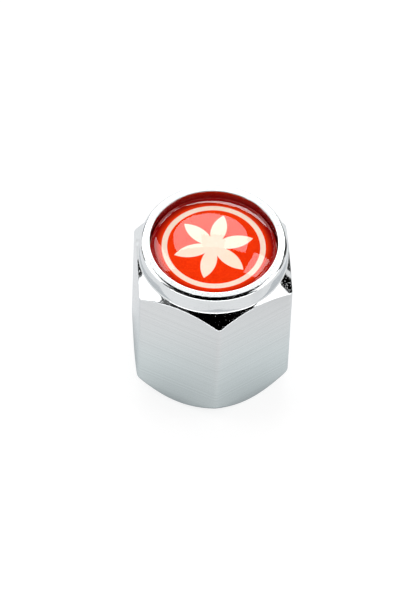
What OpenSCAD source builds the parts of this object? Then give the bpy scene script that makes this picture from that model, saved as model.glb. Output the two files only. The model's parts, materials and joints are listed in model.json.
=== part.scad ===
// Chrome-plated tyre valve cap: a hexagon bar turned to a round collar, hollow from below,
// with a rubber seal inside and a printed disc under clear domed resin in its top.
// Stands on its open end. Z is up, the origin is the centre of the open end, millimetres.

/* [Hexagon] */
// Thinnest wall, from the thread's root to the middle of a flat
flat_wall = 1.6; // [1.4:0.05:2.5]
// Rounding radius of the six upright edges
corner_round = 0.4; // [0.15:0.05:0.6]
// Height of the flats at their middle, from the open end
hex_h = 11.15; // [10.6:0.05:14]

/* [Chamfers] */
// Slope of the turned chamfer above the flats, from the horizontal
top_chamfer_angle = 40; // [30:1:50]
// Slope of the turned chamfer at the open end, from the horizontal
base_chamfer_angle = 50; // [40:1:60]
// Height of the open end's chamfer at the middle of a flat
base_chamfer_h = 0.3; // [0.1:0.05:0.5]

/* [Collar] */
// Height of the rim above the flats' middle
collar_h = 1.65; // [1.5:0.05:2.5]
// How far the round collar stands back from the flats
collar_set = 0.2; // [0.1:0.05:0.3]
// Rounding of the inner corner between the collar and the chamfer
foot_round = 0.25; // [0.1:0.05:0.35]
// Rounding of the rim's outer edge
rim_round = 0.25; // [0.1:0.05:0.3]
// Wall between the collar's outside and the badge recess
rim_w = 0.7; // [0.6:0.05:1.2]

/* [Badge] */
// Depth of the recess below the rim
recess_depth = 1; // [0.9:0.05:1.2]
// Gap round the badge in its recess
badge_clearance = 0.1; // [0.05:0.05:0.2]
// Thickness of the printed disc
disc_t = 0.15; // [0.1:0.05:0.3]
// Depth of the printed fields, flush with the disc's face
print_t = 0.05; // [0.02:0.01:0.08]
// Height of the resin's upright edge
dome_edge_h = 0.1; // [0.05:0.05:0.3]
// Rounding at the resin's shoulder
dome_edge_round = 0.35; // [0.15:0.05:0.35]
// Rise of the resin's crown above its upright edge
dome_rise = 0.7; // [0.5:0.05:1]

/* [Print] */
// Number of petals in the rosette
petal_count = 6; // [5:1:8]
// Gap between the petals' tips and the ring
petal_gap = 0.4; // [0.2:0.05:0.8]
// Widest part of a petal
petal_w = 1.1; // [0.8:0.05:1.3]
// Diameter of the rosette's round middle
hub_d = 1.5; // [1.3:0.1:2]
// Red margin between the ring and the disc's edge
ring_margin = 0.8; // [0.75:0.05:1.2]
// Width of the ring
ring_w = 0.4; // [0.3:0.05:0.5]
// Turn of the rosette against the flats
print_turn = 12; // [0:1:60]

/* [Valve thread] */
// Diameter of the bore at the root of the valve thread
thread_d = 7.8; // [7.7:0.05:8]
// Lead-in chamfer at the mouth of the bore
mouth_chamfer = 0.5; // [0.2:0.05:0.7]
// Depth of the bore from the open end
bore_depth = 9.4; // [9.2:0.1:9.8]
// How far the relief groove is cut back behind the thread's root
groove_depth = 0.2; // [0.2:0.05:0.35]
// Height of the relief groove left free below the washer
groove_gap = 0.8; // [0.6:0.1:1.2]

/* [Seal] */
// Thickness of the rubber washer
seal_t = 1.2; // [0.8:0.1:1.4]
// Gap between the washer and the groove's wall
seal_clearance = 0.1; // [0.05:0.05:0.2]
// Hole in the washer
seal_hole_d = 3; // [2:0.5:4]
// Rounding of the washer's edges
seal_round = 0.15; // [0.1:0.05:0.25]

/* [Hidden] */
$fn = 96;
// Finer steps for circles of which only a shallow arc shows
petal_fn = 360;
crown_fn = 1440;
// How far a cut runs past the surface that it opens
past = 1;

sides = 6;
side_angle = 360 / sides;
corner_steps = 6;
thread_r = thread_d / 2;
flat_r = thread_r + flat_wall;
blank_r = 2 * flat_r;
corner_centre_r = (flat_r - corner_round) / cos(side_angle / 2);

cap_h = hex_h + collar_h;
collar_r = flat_r - collar_set;
base_r = flat_r - base_chamfer_h / tan(base_chamfer_angle);

recess_r = collar_r - rim_w;
recess_z = cap_h - recess_depth;
badge_r = recess_r - badge_clearance;
disc_top = recess_z + disc_t;
shoulder_z = disc_top + dome_edge_h;
ring_r = badge_r - ring_margin;
petal_l = ring_r - ring_w - petal_gap;

groove_r = thread_r + groove_depth;
seal_r = groove_r - seal_clearance;
seal_low = bore_depth - seal_t;
thread_end = seal_low - groove_gap;

// Height of each turned chamfer's cone at a radius
function top_cone_z(r) = hex_h - (r - flat_r) * tan(top_chamfer_angle);
function base_cone_z(r) = (r - base_r) * tan(base_chamfer_angle);

// Hexagon with an arc round each corner, from flat to flat
module hexagon_outline() {
    polygon([
        for (k = [0:sides - 1], i = [0:corner_steps])
            let (corner = (k + 0.5) * side_angle, a = corner + (i / corner_steps - 0.5) * side_angle)
            corner_centre_r * [cos(corner), sin(corner)] + corner_round * [cos(a), sin(a)]
    ]);
}

// Half section of the turned outside: base chamfer, top chamfer, collar with a rounded foot, rounded rim
module turned_section() {
    foot = [collar_r + foot_round, top_cone_z(collar_r) + foot_round * tan(45 - top_chamfer_angle / 2)];
    difference() {
        polygon([
            [0, 0],
            [base_r, 0],
            [blank_r, base_cone_z(blank_r)],
            [blank_r, top_cone_z(blank_r)],
            foot - foot_round * [sin(top_chamfer_angle), cos(top_chamfer_angle)],
            foot,
            [collar_r, foot[1]],
            [collar_r, cap_h - rim_round],
            [collar_r - rim_round, cap_h],
            [0, cap_h]
        ]);
        translate(foot)
            circle(r = foot_round);
    }
    translate([collar_r - rim_round, cap_h - rim_round])
        circle(r = rim_round);
}

// Half section of the threaded bore: lead-in, thread root and relief groove
module bore_section() {
    polygon([
        [0, -past],
        [thread_r + mouth_chamfer + past, -past],
        [thread_r, mouth_chamfer],
        [thread_r, thread_end],
        [groove_r, thread_end],
        [groove_r, bore_depth],
        [0, bore_depth]
    ]);
}

module body() {
    color([0.8, 0.81, 0.82])
    difference() {
        intersection() {
            linear_extrude(height = cap_h) hexagon_outline();
            rotate_extrude() turned_section();
        }
        rotate_extrude() bore_section();
        translate([0, 0, recess_z]) cylinder(r = recess_r, h = recess_depth + past);
    }
}

// Flat ring of square section with all its edges rounded
module seal_section() {
    inner_r = seal_hole_d / 2;
    translate([inner_r + seal_round, seal_low])
        square([seal_r - inner_r - 2 * seal_round, seal_t]);
    translate([inner_r, seal_low + seal_round])
        square([seal_r - inner_r, seal_t - 2 * seal_round]);
    for (r = [inner_r + seal_round, seal_r - seal_round])
        for (z = [seal_low + seal_round, bore_depth - seal_round])
            translate([r, z])
                circle(r = seal_round);
}

module seal_washer() {
    color([0.08, 0.08, 0.08])
    rotate_extrude() seal_section();
}

// One petal along +X: the lens where two equal circles overlap
module petal() {
    arc_r = (petal_l * petal_l + petal_w * petal_w) / (4 * petal_w);
    intersection_for (side = [-1, 1])
        translate([petal_l / 2, side * (arc_r - petal_w / 2)])
            circle(r = arc_r, $fn = petal_fn);
}

module printed_outline() {
    rotate(print_turn)
        for (k = [0:petal_count - 1])
            rotate(k * 360 / petal_count)
                petal();
    circle(d = hub_d);
    difference() {
        circle(r = ring_r);
        circle(r = ring_r - ring_w);
    }
}

module badge_print() {
    color([0.98, 0.87, 0.7])
    translate([0, 0, disc_top - print_t])
        linear_extrude(height = print_t)
            printed_outline();
}

module badge_disc() {
    color([0.9, 0.24, 0.06])
    difference() {
        translate([0, 0, recess_z]) cylinder(r = badge_r, h = disc_t);
        translate([0, 0, disc_top - print_t])
            linear_extrude(height = print_t + past)
                printed_outline();
    }
}

// Half section of the resin: upright edge, rounded shoulder and a crown that meets it smoothly
module dome_section() {
    shoulder_r = badge_r - dome_edge_round;
    crown_r = (shoulder_r * shoulder_r + dome_rise * dome_rise - dome_edge_round * dome_edge_round)
        / (2 * (dome_rise - dome_edge_round));
    crown_z = shoulder_z + dome_rise - crown_r;
    reach = crown_r / (crown_r - dome_edge_round);
    meet = [shoulder_r * reach, crown_z + (shoulder_z - crown_z) * reach];
    translate([0, disc_top])
        square([badge_r, dome_edge_h]);
    intersection() {
        translate([shoulder_r, shoulder_z])
            circle(r = dome_edge_round);
        translate([shoulder_r, shoulder_z])
            square(dome_edge_round);
    }
    intersection() {
        translate([0, crown_z])
            circle(r = crown_r, $fn = crown_fn);
        polygon([
            [0, shoulder_z],
            [shoulder_r, shoulder_z],
            meet,
            [meet[0], shoulder_z + dome_rise],
            [0, shoulder_z + dome_rise]
        ]);
    }
}

module resin_dome() {
    color([1, 0.97, 0.95, 0.35])
    rotate_extrude() dome_section();
}

body();
seal_washer();
badge_disc();
badge_print();
resin_dome();
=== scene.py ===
import json
from math import asin, atan2, cos, hypot, pi, radians, sin, sqrt, tan

import bmesh
import bpy
from mathutils import Matrix, Vector

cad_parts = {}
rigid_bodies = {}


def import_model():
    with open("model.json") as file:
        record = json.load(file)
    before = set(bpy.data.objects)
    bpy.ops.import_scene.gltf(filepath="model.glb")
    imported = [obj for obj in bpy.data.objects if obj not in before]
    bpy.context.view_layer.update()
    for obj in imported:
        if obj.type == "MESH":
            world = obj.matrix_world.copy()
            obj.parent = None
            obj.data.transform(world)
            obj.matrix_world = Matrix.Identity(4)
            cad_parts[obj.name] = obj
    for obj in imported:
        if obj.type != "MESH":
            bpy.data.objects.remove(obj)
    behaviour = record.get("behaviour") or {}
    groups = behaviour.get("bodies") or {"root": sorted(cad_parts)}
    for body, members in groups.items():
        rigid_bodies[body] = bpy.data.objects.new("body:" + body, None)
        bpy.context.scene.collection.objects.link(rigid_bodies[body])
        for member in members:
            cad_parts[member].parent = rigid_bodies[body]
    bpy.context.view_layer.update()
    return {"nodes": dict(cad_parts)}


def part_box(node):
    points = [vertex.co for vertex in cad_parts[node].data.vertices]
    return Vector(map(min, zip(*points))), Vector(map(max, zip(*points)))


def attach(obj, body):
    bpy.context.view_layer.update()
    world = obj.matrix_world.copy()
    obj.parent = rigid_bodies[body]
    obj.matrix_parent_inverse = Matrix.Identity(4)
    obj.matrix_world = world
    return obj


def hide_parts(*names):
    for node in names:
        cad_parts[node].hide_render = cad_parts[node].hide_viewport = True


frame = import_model()
mm = 0.001  # meshes are modelled in millimetres and scaled once, when they become pieces


def nodeBox(node):
    low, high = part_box(node)
    return low / mm, high / mm


bodyLow, bodyHigh = nodeBox("body")
domeLow, domeHigh = nodeBox("resin_dome")
washerLow, washerHigh = nodeBox("seal_washer")
discLow, _ = nodeBox("badge_disc")
print("frame loaded:", ", ".join(sorted(frame["nodes"])))


# Camera: a long lens from above, a little left of the hexagon's front corner

cameraView = {
    "lens": 318.2,
    "distance": 384.8,
    "elevation": 52.2,
    "azimuth": -5.98,
    "roll": 2.52,
    "lookAt": 5.8,  # height of the point on the axis that the view is framed from
    "shiftRight": -0.771,
    "shiftUp": 0.076,
    "clip": (0.01, 20),  # metres
}


def addCamera(view):
    azimuth, elevation, roll = (radians(view[name]) for name in ("azimuth", "elevation", "roll"))
    back = Vector((sin(azimuth) * cos(elevation), -cos(azimuth) * cos(elevation), sin(elevation)))
    right = Matrix.Rotation(roll, 3, back) @ Vector((cos(azimuth), sin(azimuth), 0))
    up = back.cross(right)
    target = Vector((0, 0, view["lookAt"])) + right * view["shiftRight"] + up * view["shiftUp"]
    place = Matrix.Translation((target + back * view["distance"]) * mm)
    camera = bpy.data.objects.new("camera", bpy.data.cameras.new("camera"))
    camera.data.lens = view["lens"]
    camera.data.clip_start, camera.data.clip_end = view["clip"]
    camera.matrix_world = place @ Matrix((right, up, back)).transposed().to_4x4()
    bpy.context.scene.collection.objects.link(camera)
    bpy.context.scene.camera = camera


addCamera(cameraView)
bpy.context.scene.view_settings.view_transform = "Standard"
print("camera placed")


# Shader helpers

def newMaterial(name):
    material = bpy.data.materials.new(name)
    material.use_nodes = True
    return material, material.node_tree, material.node_tree.nodes["Principled BSDF"]


def newGroup(name, inputs, outputs):
    group = bpy.data.node_groups.new(name, "ShaderNodeTree")
    for label, kind, value in inputs:
        socket = group.interface.new_socket(label, in_out="INPUT", socket_type="NodeSocket" + kind)
        if value is not None:
            socket.default_value = value
    for label in outputs:
        group.interface.new_socket(label, in_out="OUTPUT", socket_type="NodeSocketFloat")
    return group, group.nodes.new("NodeGroupInput").outputs, group.nodes.new("NodeGroupOutput").inputs


def feed(tree, socket, value):
    if isinstance(value, bpy.types.NodeSocket):
        tree.links.new(value, socket)
    else:
        socket.default_value = value


def calc(tree, operation, *values):
    node = tree.nodes.new("ShaderNodeMath")
    node.operation = operation
    for socket, value in zip(node.inputs, values):
        feed(tree, socket, value)
    return node.outputs[0]


def rescale(tree, value, fromLow, fromHigh, toLow, toHigh):
    node = tree.nodes.new("ShaderNodeMapRange")
    for socket, given in zip(node.inputs, (value, fromLow, fromHigh, toLow, toHigh)):
        feed(tree, socket, given)
    return node.outputs[0]


def noise(tree, position, scale, detail=2.0, roughness=0.5, flat=False):
    node = tree.nodes.new("ShaderNodeTexNoise")
    node.noise_dimensions = "1D" if flat else "3D"
    feed(tree, node.inputs["W" if flat else "Vector"], position)
    feed(tree, node.inputs["Scale"], scale)
    node.inputs["Detail"].default_value = detail
    node.inputs["Roughness"].default_value = roughness
    return node.outputs["Fac"]


def blendColors(tree, share, first, second):
    node = tree.nodes.new("ShaderNodeMix")
    node.data_type = "RGBA"
    feed(tree, node.inputs["Factor"], share)
    for socket, value in ((node.inputs[6], first), (node.inputs[7], second)):
        feed(tree, socket, value if isinstance(value, bpy.types.NodeSocket) else (*value, 1))
    return node.outputs[2]


def blendValues(tree, share, first, second):
    return calc(tree, "ADD", calc(tree, "MULTIPLY", first, 1 - share), calc(tree, "MULTIPLY", second, share))


def objectPosition(tree):
    return tree.nodes.new("ShaderNodeTexCoord").outputs["Object"]


def vectorCalc(tree, operation, first, second=(0, 0, 0), result="Value"):
    node = tree.nodes.new("ShaderNodeVectorMath")
    node.operation = operation
    feed(tree, node.inputs[0], first)
    feed(tree, node.inputs[1], second)
    return node.outputs[result]


def axisDistance(tree, position):
    level = vectorCalc(tree, "MULTIPLY", position, (1, 1, 0), "Vector")
    return vectorCalc(tree, "LENGTH", level)


def placeGroup(tree, group, **values):
    node = tree.nodes.new("ShaderNodeGroup")
    node.node_tree = group
    for label, value in values.items():
        feed(tree, node.inputs[label], value)
    return node.outputs


def addBump(tree, shader, height, depth):
    bump = tree.nodes.new("ShaderNodeBump")
    bump.inputs["Strength"].default_value = 1
    bump.inputs["Distance"].default_value = depth * mm
    tree.links.new(height, bump.inputs["Height"])
    tree.links.new(bump.outputs["Normal"], shader.inputs["Normal"])


# Rings left by a tool round the axis

def makeToolLines():
    group, given, result = newGroup(
        "toolLines",
        [("Position", "Vector", None), ("Pitch", "Float", 0.1), ("Spread", "Float", 8.0),
         ("Outward", "Float", 2.0)],
        ["Lines", "Bands"],
    )
    split = group.nodes.new("ShaderNodeSeparateXYZ")
    group.links.new(given["Position"], split.inputs[0])
    radius = axisDistance(group, given["Position"])
    along = calc(group, "MULTIPLY_ADD", radius, given["Outward"], split.outputs["Z"])
    lines = calc(group, "DIVIDE", calc(group, "DIVIDE", along, mm), given["Pitch"])
    group.links.new(noise(group, lines, 1.0, 2.0, 0.6, flat=True), result["Lines"])
    bands = calc(group, "DIVIDE", lines, given["Spread"])
    group.links.new(noise(group, bands, 1.0, 1.0, 0.5, flat=True), result["Bands"])
    return group


# Haze and specks left by handling, with the noise levels where each starts and where it is full

handlingLevels = {"haze": (0.42, 0.68), "specks": (0.65, 0.71)}


def makeHandling(levels):
    group, given, result = newGroup(
        "handling",
        [("Position", "Vector", None), ("Cloud", "Float", 300.0), ("Grain", "Float", 9000.0)],
        ["Haze", "Specks"],
    )
    cloud = noise(group, given["Position"], given["Cloud"], 3.0, 0.55)
    group.links.new(rescale(group, cloud, *levels["haze"], 0.0, 1.0), result["Haze"])
    grain = noise(group, given["Position"], given["Grain"], 1.0, 0.5)
    group.links.new(rescale(group, grain, *levels["specks"], 0.0, 1.0), result["Specks"])
    return group


toolLines = makeToolLines()
handling = makeHandling(handlingLevels)


# Chrome plating: one finish on the drawn flats, one on turned faces, one inside the bore

chromeFinish = {
    "drawnFlats": {"light": (0.642, 0.654, 0.662), "dark": (0.582, 0.594, 0.602), "pitch": 0.17,
                   "spread": 6.0, "outward": 0.0, "roughness": (0.22, 0.27), "depth": 0.0009, "specks": 0.0},
    "turnedChrome": {"light": (0.7, 0.72, 0.73), "dark": (0.65, 0.67, 0.68), "pitch": 0.06, "spread": 6.0,
                     "outward": 2.0, "roughness": (0.05, 0.11), "depth": 0.0004, "specks": 10.0},
    "boreWall": {"light": (0.62, 0.61, 0.58), "dark": (0.5, 0.49, 0.46), "pitch": 0.1,
                 "spread": 7.0, "outward": 2.0, "roughness": (0.28, 0.42), "depth": 0.002, "specks": 0.5},
}
chromeMix = {
    "bands": 0.15,  # share of the broad bands in the colour
    "haze": 0.4,  # share of the haze in the roughness
    "shadeLevels": (0.3, 0.7),
    "wornLevels": (0.2, 0.8),
    "tint": (0.86, 0.87, 0.89),  # at glancing angles
}


def makeChrome(name, finish):
    material, tree, shader = newMaterial(name)
    position = objectPosition(tree)
    rings = placeGroup(tree, toolLines, Position=position, Pitch=finish["pitch"], Spread=finish["spread"],
                       Outward=finish["outward"])
    touched = placeGroup(tree, handling, Position=position)
    shade = blendValues(tree, chromeMix["bands"], rings["Lines"], rings["Bands"])
    shade = rescale(tree, shade, *chromeMix["shadeLevels"], 0.0, 1.0)
    tree.links.new(blendColors(tree, shade, finish["dark"], finish["light"]), shader.inputs["Base Color"])
    worn = blendValues(tree, chromeMix["haze"], rings["Bands"], touched["Haze"])
    worn = rescale(tree, worn, *chromeMix["wornLevels"], *finish["roughness"])
    tree.links.new(worn, shader.inputs["Roughness"])
    shader.inputs["Metallic"].default_value = 1
    shader.inputs["Specular Tint"].default_value = (*chromeMix["tint"], 1)
    height = calc(tree, "MULTIPLY_ADD", touched["Specks"], finish["specks"], rings["Lines"])
    addBump(tree, shader, height, finish["depth"])
    return material


chrome = {name: makeChrome(name, finish) for name, finish in chromeFinish.items()}
print("chrome finishes made")


# Mesh helpers

sharpAngle = 50  # degrees from which an edge is shaded sharp


def newPiece(name, bm, materials):
    bmesh.ops.remove_doubles(bm, verts=bm.verts, dist=0.0005)
    bmesh.ops.recalc_face_normals(bm, faces=bm.faces)
    for edge in bm.edges:
        edge.smooth = edge.calc_face_angle(pi) < radians(sharpAngle)
    for face in bm.faces:
        face.smooth = True
    bmesh.ops.scale(bm, vec=(mm, mm, mm), verts=bm.verts)
    mesh = bpy.data.meshes.new(name)
    bm.to_mesh(mesh)
    bm.free()
    for material in materials:
        mesh.materials.append(material)
    piece = bpy.data.objects.new(name, mesh)
    bpy.context.scene.collection.objects.link(piece)
    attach(piece, "root")
    return piece


# Carries a point round a centre in the XZ plane and returns the last one made

def spinPoint(bm, vert, centre, degrees, steps):
    made = bmesh.ops.spin(bm, geom=[vert], cent=centre, axis=(0, 1, 0), angle=radians(degrees), steps=steps)
    return next(item for item in made["geom_last"] if isinstance(item, bmesh.types.BMVert))


def drawPoint(bm, vert, place):
    made = bmesh.ops.extrude_vert_indiv(bm, verts=[vert])["verts"][0]
    made.co = place
    return made


def turnRound(bm, steps):
    bmesh.ops.spin(bm, geom=bm.verts[:] + bm.edges[:], cent=(0, 0, 0), axis=(0, 0, 1), angle=2 * pi,
                   steps=steps, use_merge=True)


# Cap body: the hexagon's outline carried up to the rim and down into the bore, ring by ring

bodySize = {
    "flatRadius": bodyHigh.x,
    "height": bodyHigh.z,
    "cornerRound": 0.4,
    "hexHeight": 11.15,
    "topChamfer": 40,  # degrees from the level
    "baseChamfer": 50,
    "baseChamferHeight": 0.3,
    "collarSet": 0.2,
    "collarFoot": 0.25,
    "rimRound": 0.25,
    "rimWidth": 0.7,
    "recessFloor": discLow.z,
    "threadRadius": 3.9,
    "mouthChamfer": 0.5,
    "grooveLow": 7.4,
    "grooveRadius": washerHigh.x + 0.1,
    "boreEnd": washerHigh.z,
    "edgeBreak": 0.05,
    "recessBreak": 0.02,
    "baseBreak": 0.2,
    "innerFillet": 0.04,
    "hold": 0.04,  # how far past a rounding the shading is flat again
    "outerHold": 0.25,  # most that the cone's two rings may take, as shares of its width
    "innerHold": 0.73,
    "slack": 0.02,  # how near a wall a face has to lie to count as part of it
    "flatSteps": 24,
    "cornerSteps": 8,
}


def hexOutline(size):
    bm = bmesh.new()
    corner = size["flatRadius"] / cos(pi / 6)
    bmesh.ops.create_circle(bm, cap_ends=True, segments=6, radius=corner)
    bmesh.ops.bevel(bm, geom=bm.verts[:], offset=size["cornerRound"] * tan(pi / 6), offset_type="OFFSET",
                    affect="VERTICES", segments=size["cornerSteps"], profile=0.5, material=-1)
    bmesh.ops.delete(bm, geom=bm.faces[:], context="FACES_ONLY")
    flats = [edge for edge in bm.edges if edge.calc_length() > size["cornerRound"]]
    bmesh.ops.subdivide_edges(bm, edges=flats, cuts=size["flatSteps"] - 1)
    return bm


def setRing(verts, radius, height):
    for vert in verts:
        if radius:
            reach = radius(vert.co.xy.length) if callable(radius) else radius
            vert.co.xy = vert.co.xy.normalized() * reach
        vert.co.z = height(vert.co.xy.length) if callable(height) else height


def carryRing(bm, edges, radius, height):
    made = bmesh.ops.extrude_edge_only(bm, edges=edges)["geom"]
    verts = {item for item in made if isinstance(item, bmesh.types.BMVert)}
    setRing(verts, radius, height)
    return [item for item in made if isinstance(item, bmesh.types.BMEdge) and verts.issuperset(item.verts)]


def capBodyMesh(size):
    flat, height, thread = size["flatRadius"], size["height"], size["threadRadius"]
    collar = flat - size["collarSet"]
    recess = collar - size["rimWidth"]
    base = flat - size["baseChamferHeight"] / tan(radians(size["baseChamfer"]))
    mouth, groove = thread + size["mouthChamfer"], size["grooveRadius"]
    rim, floor, hold, slack = size["rimRound"], size["recessFloor"], size["hold"], size["slack"]
    fillet = size["collarFoot"] * tan(radians(90 - size["topChamfer"]) / 2)

    def topCone(radius):
        return size["hexHeight"] - (radius - flat) * tan(radians(size["topChamfer"]))

    def baseCone(radius):
        return (radius - base) * tan(radians(size["baseChamfer"]))

    def nearFlats(radius):
        return radius - min(hold * 2, (radius - collar) * size["outerHold"])

    def nearCollar(radius):
        return collar + min(fillet + hold, (radius - collar) * size["innerHold"])

    bm = hexOutline(size)
    setRing(bm.verts, None, baseCone)
    foot = bm.edges[:]
    broken = [(foot, size["baseBreak"], 5)]
    # Radius, height, offset of the rounding and its steps; a ring without one keeps a face's shading flat
    upward = [
        (None, lambda radius: baseCone(radius) + size["baseBreak"] + hold, 0, 0),
        (None, lambda radius: topCone(radius) - size["edgeBreak"] - hold, 0, 0),
        (None, topCone, size["edgeBreak"], 3),
        (nearFlats, topCone, 0, 0),
        (nearCollar, topCone, 0, 0),
        (collar, topCone, fillet, 6),
        (collar, topCone(collar) + fillet + hold, 0, 0),
        (collar, height - rim - hold, 0, 0),
        (collar, height, rim, 10),
        (collar - rim - hold, height, 0, 0),
        (recess + size["recessBreak"] + hold, height, 0, 0),
        (recess, height, size["recessBreak"], 3),
        (recess, height - size["recessBreak"] - hold, 0, 0),
        (recess, floor + size["innerFillet"] + hold, 0, 0),
        (recess, floor, size["innerFillet"], 2),
    ]
    inward = [
        (base, 0, size["edgeBreak"], 3),
        (mouth, 0, size["edgeBreak"], 3),
        (thread, size["mouthChamfer"], size["edgeBreak"], 2),
        (thread, size["grooveLow"], size["edgeBreak"], 2),
        (groove, size["grooveLow"], size["innerFillet"], 2),
        (groove, size["boreEnd"], size["innerFillet"], 2),
    ]
    for rings in (upward, inward):
        edges = foot
        for radius, level, rounding, steps in rings:
            edges = carryRing(bm, edges, radius, level)
            if rounding:
                broken.append((edges, rounding, steps))
        bmesh.ops.edgeloop_fill(bm, edges=edges)
    for edges, rounding, steps in broken:
        bmesh.ops.bevel(bm, geom=edges, offset=rounding, offset_type="OFFSET", affect="EDGES",
                        segments=steps, profile=0.5, material=-1)
    finishes = list(chromeFinish)
    for face in bm.faces:
        centre = face.calc_center_median()
        reach = hypot(centre.x, centre.y)
        if reach > collar + slack and abs(face.normal.z) < slack:
            finish = "drawnFlats"
        elif centre.z < size["boreEnd"] + slack and reach < mouth - slack / 2:
            finish = "boreWall"
        else:
            finish = "turnedChrome"
        face.material_index = finishes.index(finish)
    return bm


capBody = newPiece("capBody", capBodyMesh(bodySize), list(chrome.values()))
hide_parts("body")
print("cap body:", len(capBody.data.polygons), "faces")


# Valve thread: a right-handed ridge in the bore, run out at both ends

threadSize = {
    "pitch": 25.4 / 32,  # 32 threads to the inch
    "rootRadius": bodySize["threadRadius"] + 0.02,  # a little way into the wall
    "crestRadius": 3.5,
    "rootWidth": 0.7,
    "crestWidth": 0.12,
    "low": 0.7,
    "high": 7.0,
    "runOut": 0.4,  # turns
    "turnSteps": 64,
}


def threadMesh(size):
    bm = bmesh.new()
    root, crest, low, pitch = size["rootRadius"], size["crestRadius"], size["low"], size["pitch"]
    section = [(root, -size["rootWidth"]), (crest, -size["crestWidth"]), (crest, size["crestWidth"]),
               (root, size["rootWidth"])]
    corners = [bm.verts.new((radius, 0, low + width / 2)) for radius, width in section]
    bm.faces.new(corners)
    turns = (size["high"] - low) / pitch
    steps = round(turns * size["turnSteps"])
    bmesh.ops.spin(bm, geom=bm.verts[:] + bm.edges[:] + bm.faces[:], cent=(0, 0, 0), axis=(0, 0, 1),
                   dvec=(0, 0, (size["high"] - low) / steps), angle=turns * 2 * pi, steps=steps)
    for vert in bm.verts:
        angle = atan2(vert.co.y, vert.co.x) / (2 * pi)
        turn = round((vert.co.z - low) / pitch - angle) + angle
        share = max(0, min(1, min(turn, turns - turn) / size["runOut"]))
        vert.co.xy = vert.co.xy.normalized() * (root - (root - vert.co.xy.length) * share)
    return bm


valveThread = newPiece("valveThread", threadMesh(threadSize), [chrome["boreWall"]])
print("valve thread:", len(valveThread.data.polygons), "faces")


# Seal washer: a square section with rounded corners, turned round the axis

washerSize = {
    "outerRadius": washerHigh.x,
    "holeRadius": 1.5,
    "low": washerLow.z,
    "high": washerHigh.z,
    "round": 0.15,
    "roundSteps": 5,
    "steps": 96,
}

rubberFinish = {
    "light": (0.045, 0.044, 0.043),
    "dark": (0.018, 0.018, 0.018),
    "roughness": (0.5, 0.7),
    "depth": 0.01,
    "cloud": 500.0,
    "grain": 12000.0,
    "haze": 0.6,
}


def makeRubber(finish):
    material, tree, shader = newMaterial("sealRubber")
    touched = placeGroup(tree, handling, Position=objectPosition(tree), Cloud=finish["cloud"],
                         Grain=finish["grain"])
    hazed = calc(tree, "MULTIPLY", touched["Haze"], finish["haze"])
    shade = calc(tree, "MAXIMUM", hazed, touched["Specks"])
    tree.links.new(blendColors(tree, shade, finish["dark"], finish["light"]), shader.inputs["Base Color"])
    worn = rescale(tree, touched["Haze"], 0.0, 1.0, *finish["roughness"])
    tree.links.new(worn, shader.inputs["Roughness"])
    addBump(tree, shader, touched["Specks"], finish["depth"])
    return material


def washerMesh(size):
    bm = bmesh.new()
    for radius, level in ((size["holeRadius"], size["low"]), (size["outerRadius"], size["low"]),
                          (size["outerRadius"], size["high"]), (size["holeRadius"], size["high"])):
        bm.verts.new((radius, 0, level))
    bm.faces.new(bm.verts[:])
    bmesh.ops.bevel(bm, geom=bm.verts[:], offset=size["round"], offset_type="OFFSET", affect="VERTICES",
                    segments=size["roundSteps"], profile=0.5, material=-1)
    bmesh.ops.delete(bm, geom=bm.faces[:], context="FACES_ONLY")
    turnRound(bm, size["steps"])
    return bm


sealWasher = newPiece("sealWasher", washerMesh(washerSize), [makeRubber(rubberFinish)])
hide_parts("seal_washer")
print("seal washer:", len(sealWasher.data.polygons), "faces")


# Badge: the printed disc and its print keep their own meshes and take these finishes; painted shade darkens
# towards the disc's edge, between the two radii of the band

inkFinish = {
    "badge_disc": {"light": (0.93, 0.052, 0.005), "dark": (0.8, 0.032, 0.003), "roughness": 0.45,
                   "edge": (0.34, 0.004, 0.004), "edgeBand": (3.75, 4.2)},
    "badge_print": {"light": (1.0, 0.9, 0.77), "dark": (0.97, 0.82, 0.66), "roughness": 0.45},
}
inkPattern = {"cloud": 350.0, "grain": 7000.0, "grainShare": 0.4, "levels": (0.35, 0.65)}


def makeInk(name, finish):
    material, tree, shader = newMaterial(name)
    position = objectPosition(tree)
    cloud = noise(tree, position, inkPattern["cloud"], 3.0, 0.6)
    grain = noise(tree, position, inkPattern["grain"], 1.0, 0.5)
    shade = blendValues(tree, inkPattern["grainShare"], cloud, grain)
    shade = rescale(tree, shade, *inkPattern["levels"], 0.0, 1.0)
    ink = blendColors(tree, shade, finish["dark"], finish["light"])
    # Painted shade: the disc's red darkens to the edge colour across the band, under the resin's shoulder
    if "edge" in finish:
        inner, outer = finish["edgeBand"]
        rim = rescale(tree, axisDistance(tree, position), inner * mm, outer * mm, 0.0, 1.0)
        ink = blendColors(tree, rim, ink, finish["edge"])
    tree.links.new(ink, shader.inputs["Base Color"])
    shader.inputs["Roughness"].default_value = finish["roughness"]
    shader.inputs["Specular IOR Level"].default_value = 0  # wetted by the resin, so no gloss of its own
    return material


for node, finish in inkFinish.items():
    frame["nodes"][node].data.materials.clear()
    frame["nodes"][node].data.materials.append(makeInk(node + "_ink", finish))
print("badge finishes made")


# Resin dome: crown, rounded shoulder and upright edge, a hair past the disc's so that no air lies between

domeSize = {
    "radius": domeHigh.x + 0.015,
    "low": domeLow.z - 0.02,
    "edgeTop": domeLow.z + 0.1,
    "shoulder": 0.35,
    "top": domeHigh.z,
    "crownSteps": 36,
    "shoulderSteps": 12,
    "steps": 192,
}


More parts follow.
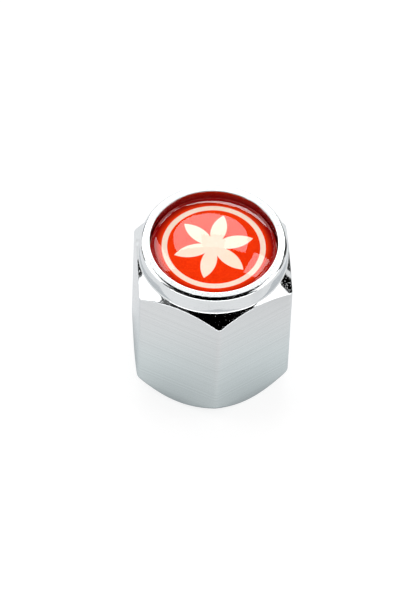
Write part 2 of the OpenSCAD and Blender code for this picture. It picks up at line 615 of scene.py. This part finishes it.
def domeMesh(size):
    shoulder, edgeTop = size["shoulder"], size["edgeTop"]
    reach, rise = size["radius"] - shoulder, size["top"] - edgeTop
    crownRadius = (reach ** 2 + rise ** 2 - shoulder ** 2) / (2 * (rise - shoulder))
    crownCentre = size["top"] - crownRadius
    crownAngle = atan2(reach, edgeTop - crownCentre) * 180 / pi
    bm = bmesh.new()
    point = bm.verts.new((0, 0, size["top"]))
    point = spinPoint(bm, point, (0, 0, crownCentre), crownAngle, size["crownSteps"])
    point = spinPoint(bm, point, (reach, 0, edgeTop), 90 - crownAngle, size["shoulderSteps"])
    point = drawPoint(bm, point, (size["radius"], 0, size["low"]))
    drawPoint(bm, point, (0, 0, size["low"]))
    turnRound(bm, size["steps"])
    return bm


resinFinish = {
    "color": (1, 0.985, 0.97),
    "ior": 1.5,
    "roughness": (0.0, 0.03),
    "depth": 0.0006,
    "cloud": 260.0,
    "ripple": 420.0,
}


def makeResin(finish):
    material, tree, shader = newMaterial("clearResin")
    position = objectPosition(tree)
    touched = placeGroup(tree, handling, Position=position, Cloud=finish["cloud"])
    shader.inputs["Base Color"].default_value = (*finish["color"], 1)
    shader.inputs["IOR"].default_value = finish["ior"]
    shader.inputs["Transmission Weight"].default_value = 1
    worn = rescale(tree, touched["Haze"], 0.0, 1.0, *finish["roughness"])
    tree.links.new(worn, shader.inputs["Roughness"])
    addBump(tree, shader, noise(tree, position, finish["ripple"], 1.0, 0.4), finish["depth"])
    clear = tree.nodes.new("ShaderNodeBsdfTransparent")
    either = tree.nodes.new("ShaderNodeMixShader")
    tree.links.new(tree.nodes.new("ShaderNodeLightPath").outputs["Is Shadow Ray"], either.inputs[0])
    tree.links.new(shader.outputs[0], either.inputs[1])
    tree.links.new(clear.outputs[0], either.inputs[2])
    tree.links.new(either.outputs[0], tree.nodes["Material Output"].inputs["Surface"])
    return material


resinDome = newPiece("resinDome", domeMesh(domeSize), [makeResin(resinFinish)])
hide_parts("resin_dome")
print("resin dome:", len(resinDome.data.polygons), "faces")


# Studio: a pale floor, light boxes round the cap, and cards that the plating mirrors

floorFinish = {
    "color": (0.3, 0.3, 0.3),
    "roughness": 0.8,
    "glow": 0.76,
    "radius": 3.0,  # metres
    "steps": 96,
    "drop": 0.02,  # millimetres below the cap, so that the two faces never share a plane
    "seen": (1.0, 1.0, 1.0),
    # Painted shade, as the plating mirrors the floor: a painted shadow under the cap, then painted shade
    # that fades from the cap's side outwards
    "under": (0.1, 0.11, 0.12),
    "paintedShadeTints": [(0.0, (0.57, 0.65, 0.655)), (0.25, (0.745, 0.83, 0.835)), (0.5, (0.875, 0.965, 0.965)),
              (1.0, (1.0, 1.0, 1.0))],
    "fade": (5.6, 12.6),  # millimetres from the axis
    "underFade": (4.7, 6.3),  # the same, square to the flats
    "behind": 0.9,  # how far the painted reflection of the floor pales behind the cap
    "behindReach": 5.0,
    # Painted shadows in the mirrored floor: dark patches, each with its middle, reach and depth
    "paintedShadows": [{"centre": (-1.8, -8.8), "reach": 6.5, "depth": 0.17},
               {"centre": (15.0, -10.0), "reach": 5.0, "depth": 0.45}],
}
surround = {"seen": 1.0, "fill": 0.47}
# Azimuth and elevation in degrees, seen from the cap
lightBoxes = {
    "topBox": {"azimuth": (69, 101.5), "elevation": (39.5, 54.5), "strength": 4.2, "rounded": True},
    "backWall": {"azimuth": (50, 130), "elevation": (2, 29), "strength": 1.2},
    "backStrip": {"azimuth": (66, 105), "elevation": (28, 34.6), "strength": 6.5, "lift": 7.0},
    "leftBox": {"azimuth": (160, 193), "elevation": (10, 40), "strength": 2.5},
    "rightBox": {"azimuth": (-34, 4), "elevation": (10, 45), "strength": 2.5},
    "highLeftBox": {"azimuth": (124, 182), "elevation": (34, 63), "strength": 2.0},
    "highRightBox": {"azimuth": (-20, 48), "elevation": (47, 64), "strength": 2.0},
    "leftLamp": {"azimuth": (106.5, 118), "elevation": (45, 61), "strength": 3.5},
    "rightLamp": {"azimuth": (55, 65), "elevation": (53, 62), "strength": 4.5},
    "frontStrip": {"azimuth": (-150, -40), "elevation": (1, 8), "strength": 5.0},
}
# Cards that only mirrors and glass see, some behind the boxes, one in front of the top box
cards = {
    "cameraFlag": {"azimuth": (232, 325), "elevation": (10, 58), "glow": 0.0, "distance": 1.1},
    "cameraFlagSide": {"azimuth": (207, 232), "elevation": (10, 58), "glow": 0.05, "distance": 1.1},
    "cameraFlagEdge": {"azimuth": (194, 207), "elevation": (10, 58), "glow": 0.16, "distance": 1.1},
    "ceilingFlag": {"azimuth": (0, 360), "elevation": (56, 90), "glow": 0.0, "distance": 1.1},
    "backFlag": {"azimuth": (38, 124), "elevation": (30, 58), "glow": 0.0, "distance": 1.1},
    "leftFlag": {"azimuth": (143, 161), "elevation": (7, 27), "glow": 0.0, "distance": 1.1},
    "rightFlag": {"azimuth": (5, 17), "elevation": (4, 47), "glow": 0.0, "distance": 1.1},
    "farRightFlag": {"azimuth": (22, 38), "elevation": (4, 47), "glow": 0.05, "distance": 1.1},
    "topScrim": {"azimuth": (79, 89), "elevation": (49.2, 54.6), "glow": 1.45, "distance": 0.95},
}
studioRadius = 600
cardSteps = (36, 16)
leastWidth = 0.02  # share of its width that a rounded card keeps at its lowest point


# A patch of a sphere round the cap: "rounded" rounds its lower edge, "lift" raises its two ends

def cardMesh(card, radius):
    start, end = card["azimuth"]
    low, high = card["elevation"]
    bm = bmesh.new()
    turn = Matrix.Rotation(radians(start), 3, "Z")
    point = bm.verts.new(turn @ Vector((cos(radians(low)), 0, sin(radians(low)))) * radius)
    bmesh.ops.spin(bm, geom=[point], cent=(0, 0, 0), axis=turn @ Vector((0, -1, 0)),
                   angle=radians(high - low), steps=cardSteps[1])
    bmesh.ops.spin(bm, geom=bm.verts[:] + bm.edges[:], cent=(0, 0, 0), axis=(0, 0, 1),
                   angle=radians(end - start), steps=cardSteps[0])
    if card.get("rounded"):
        middle = radians((start + end) / 2)
        for vert in bm.verts:
            drop = (radians(high) - asin(vert.co.z / radius)) / radians(high - low)
            aside = atan2(vert.co.y, vert.co.x) - middle
            narrowed = aside * (1 - sqrt(max(leastWidth ** 2, 1 - drop ** 2)))
            vert.co = Matrix.Rotation(-narrowed, 3, "Z") @ vert.co
    if card.get("lift"):
        middle, half = radians((start + end) / 2), radians((end - start) / 2)
        for vert in bm.verts:
            angle = atan2(vert.co.y, vert.co.x)
            share = ((angle - middle) / half) ** 2
            climb = Matrix.Rotation(radians(card["lift"]) * share, 3, Vector((sin(angle), -cos(angle), 0)))
            vert.co = climb @ vert.co
    bmesh.ops.scale(bm, vec=(mm, mm, mm), verts=bm.verts)
    return bm


def addStage(name, bm, material):
    mesh = bpy.data.meshes.new(name)
    bm.to_mesh(mesh)
    bm.free()
    mesh.materials.append(material)
    piece = bpy.data.objects.new(name, mesh)
    bpy.context.scene.collection.objects.link(piece)
    return piece


def seenByEye(tree):
    path = tree.nodes.new("ShaderNodeLightPath").outputs
    return calc(tree, "MAXIMUM", calc(tree, "MAXIMUM", path["Is Camera Ray"], path["Is Glossy Ray"]),
                path["Is Transmission Ray"])


# The floor's colour as mirrors and glass see it, with painted shade: darker and bluer near the cap, a
# painted shadow under it, paler behind it and painted shadow patches; the camera sees the plain floor
def paintedFloorShade(tree, finish):
    position = objectPosition(tree)
    inner, outer = finish["fade"]
    ramp = tree.nodes.new("ShaderNodeValToRGB")
    stops = ramp.color_ramp.elements
    while len(stops) < len(finish["paintedShadeTints"]):
        stops.new(0.5)
    for stop, (place, color) in zip(stops, finish["paintedShadeTints"]):
        stop.position = place
        stop.color = (*color, 1)
    away = vectorCalc(tree, "LENGTH", position)
    tree.links.new(rescale(tree, away, inner * mm, outer * mm, 0.0, 1.0), ramp.inputs[0])
    split = tree.nodes.new("ShaderNodeSeparateXYZ")
    tree.links.new(position, split.inputs[0])
    # Painted light: the mirrored floor pales towards white behind the cap
    behind = rescale(tree, split.outputs["Y"], 0.0, finish["behindReach"] * mm, 0.0, finish["behind"])
    mirrored = blendColors(tree, behind, ramp.outputs["Color"], finish["seen"])
    # Painted shadows: dark patches painted into the floor that the plating mirrors
    for shade in finish["paintedShadows"]:
        centre = tuple(value * mm for value in shade["centre"]) + (0,)
        near = vectorCalc(tree, "DISTANCE", position, centre)
        share = rescale(tree, near, 0.0, shade["reach"] * mm, shade["depth"], 0.0)
        mirrored = blendColors(tree, share, mirrored, (0, 0, 0))
    sides = [calc(tree, "ABSOLUTE", vectorCalc(tree, "DOT_PRODUCT", position, (cos(turn), sin(turn), 0)))
             for turn in (0, pi / 3, 2 * pi / 3)]
    hexReach = calc(tree, "MAXIMUM", calc(tree, "MAXIMUM", sides[0], sides[1]), sides[2])
    # Painted shadow under the cap, square to the flats
    inner, outer = finish["underFade"]
    outside = rescale(tree, hexReach, inner * mm, outer * mm, 0.0, 1.0)
    mirrored = blendColors(tree, outside, finish["under"], mirrored)
    direct = tree.nodes.new("ShaderNodeLightPath").outputs["Is Camera Ray"]
    return blendColors(tree, direct, mirrored, finish["seen"])


def addFloor(finish):
    material, tree, shader = newMaterial("paleFloor")
    shader.inputs["Base Color"].default_value = (*finish["color"], 1)
    shader.inputs["Roughness"].default_value = finish["roughness"]
    shader.inputs["Specular IOR Level"].default_value = 0
    tree.links.new(paintedFloorShade(tree, finish), shader.inputs["Emission Color"])
    glow = calc(tree, "MULTIPLY", seenByEye(tree), finish["glow"])
    tree.links.new(glow, shader.inputs["Emission Strength"])
    material.cycles.emission_sampling = "NONE"
    bm = bmesh.new()
    bmesh.ops.create_circle(bm, cap_ends=True, segments=finish["steps"], radius=finish["radius"])
    bmesh.ops.translate(bm, verts=bm.verts, vec=(0, 0, -finish["drop"] * mm))
    addStage("paleFloor", bm, material)


def makeGlow(name, strength):
    material, _, shader = newMaterial(name)
    shader.inputs["Base Color"].default_value = (0, 0, 0, 1)
    shader.inputs["Specular IOR Level"].default_value = 0
    shader.inputs["Emission Color"].default_value = (1, 1, 1, 1)
    shader.inputs["Emission Strength"].default_value = strength
    return material


def addLightBox(name, box):
    card = addStage(name, cardMesh(box, studioRadius), makeGlow(name, box["strength"]))
    card.visible_camera = False


def addCard(name, finish):
    patch = cardMesh(finish, studioRadius * finish["distance"])
    card = addStage(name, patch, makeGlow(name, finish["glow"]))
    card.visible_camera = False
    card.visible_diffuse = False
    card.visible_shadow = False


def addSurround(levels):
    world = bpy.data.worlds.new("surround")
    world.use_nodes = True
    tree = world.node_tree
    background = tree.nodes["Background"]
    background.inputs["Color"].default_value = (1, 1, 1, 1)
    tree.links.new(rescale(tree, seenByEye(tree), 0.0, 1.0, levels["fill"], levels["seen"]),
                   background.inputs["Strength"])
    bpy.context.scene.world = world


addFloor(floorFinish)
for name, box in lightBoxes.items():
    addLightBox(name, box)
for name, finish in cards.items():
    addCard(name, finish)
addSurround(surround)
print("studio set")
